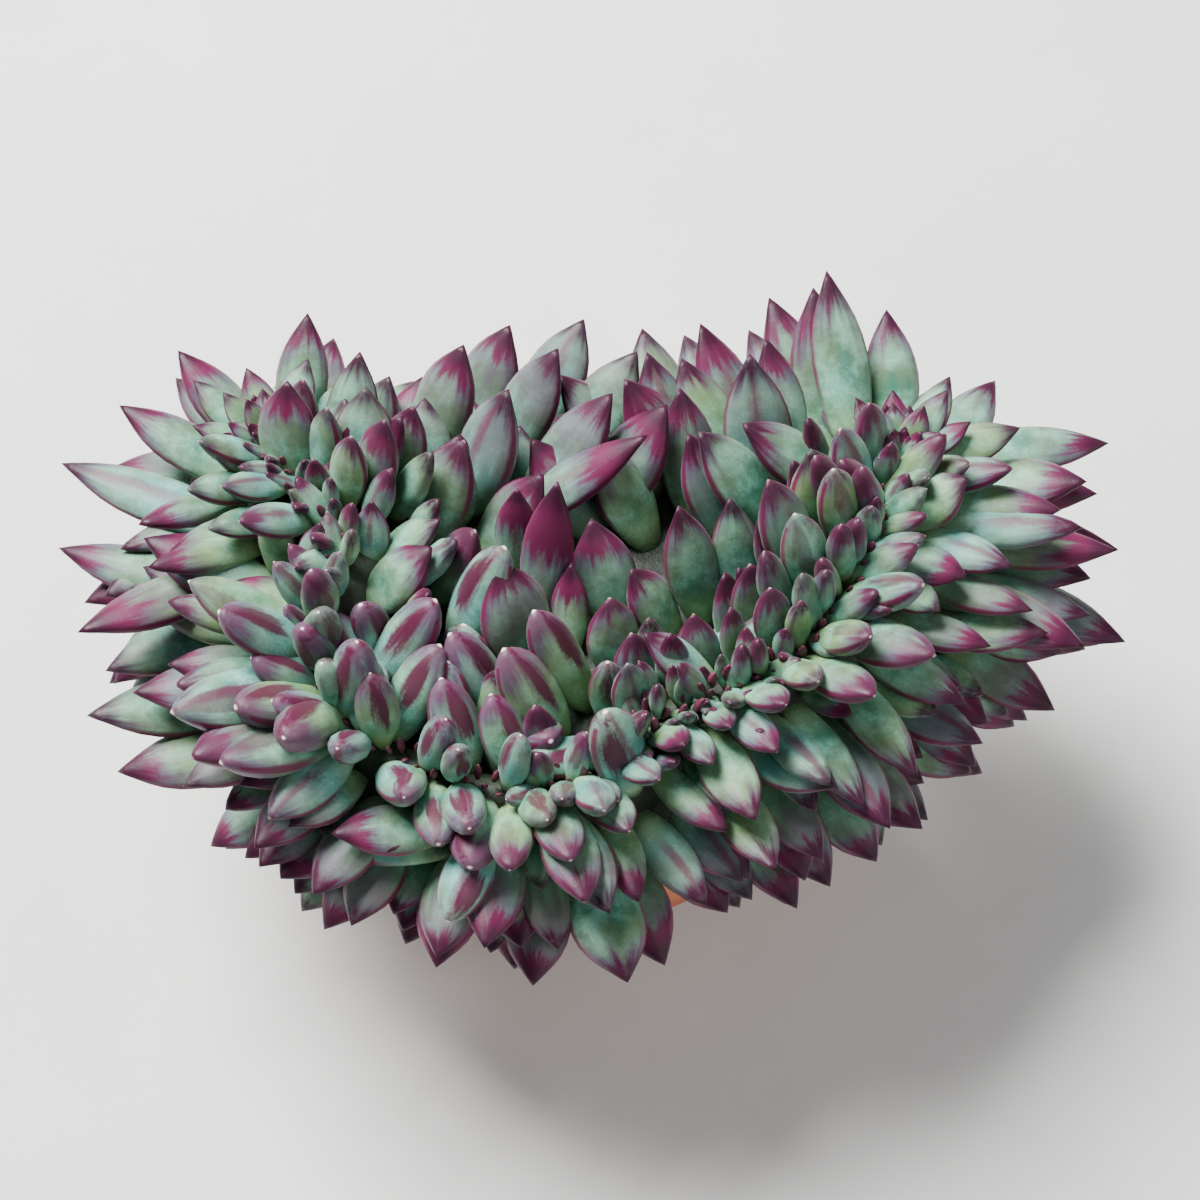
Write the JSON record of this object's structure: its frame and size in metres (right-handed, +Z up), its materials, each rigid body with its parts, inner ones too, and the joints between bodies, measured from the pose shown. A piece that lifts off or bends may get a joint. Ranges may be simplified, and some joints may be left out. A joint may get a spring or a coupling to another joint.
{
  "type": "potted crested echeveria",
  "caption": "Crested rosette succulent with keeled, red-edged leaves along a winding growing line, on a short flat stem in a plain clay bowl of gritty soil.",
  "frame": {"origin": "centre of the pot's flat underside", "axes": "+Z up; +X to the right along the crest's longest way and -Y to the front, as the picture looks at it"},
  "size_m": [0.1397, 0.0988, 0.0761],
  "materials": {
    "terracotta": "unglazed, matt",
    "soil": "gritty, matt",
    "bark": "rough, matt",
    "leaf": "waxy bloom, satin",
    "bud": "waxy, satin"
  },
  "bodies": {
    "root": {"pot": "terracotta", "soil": "soil", "stem": "bark", "crest": "leaf", "growing_line": "bud"}
  },
  "joints": []
}
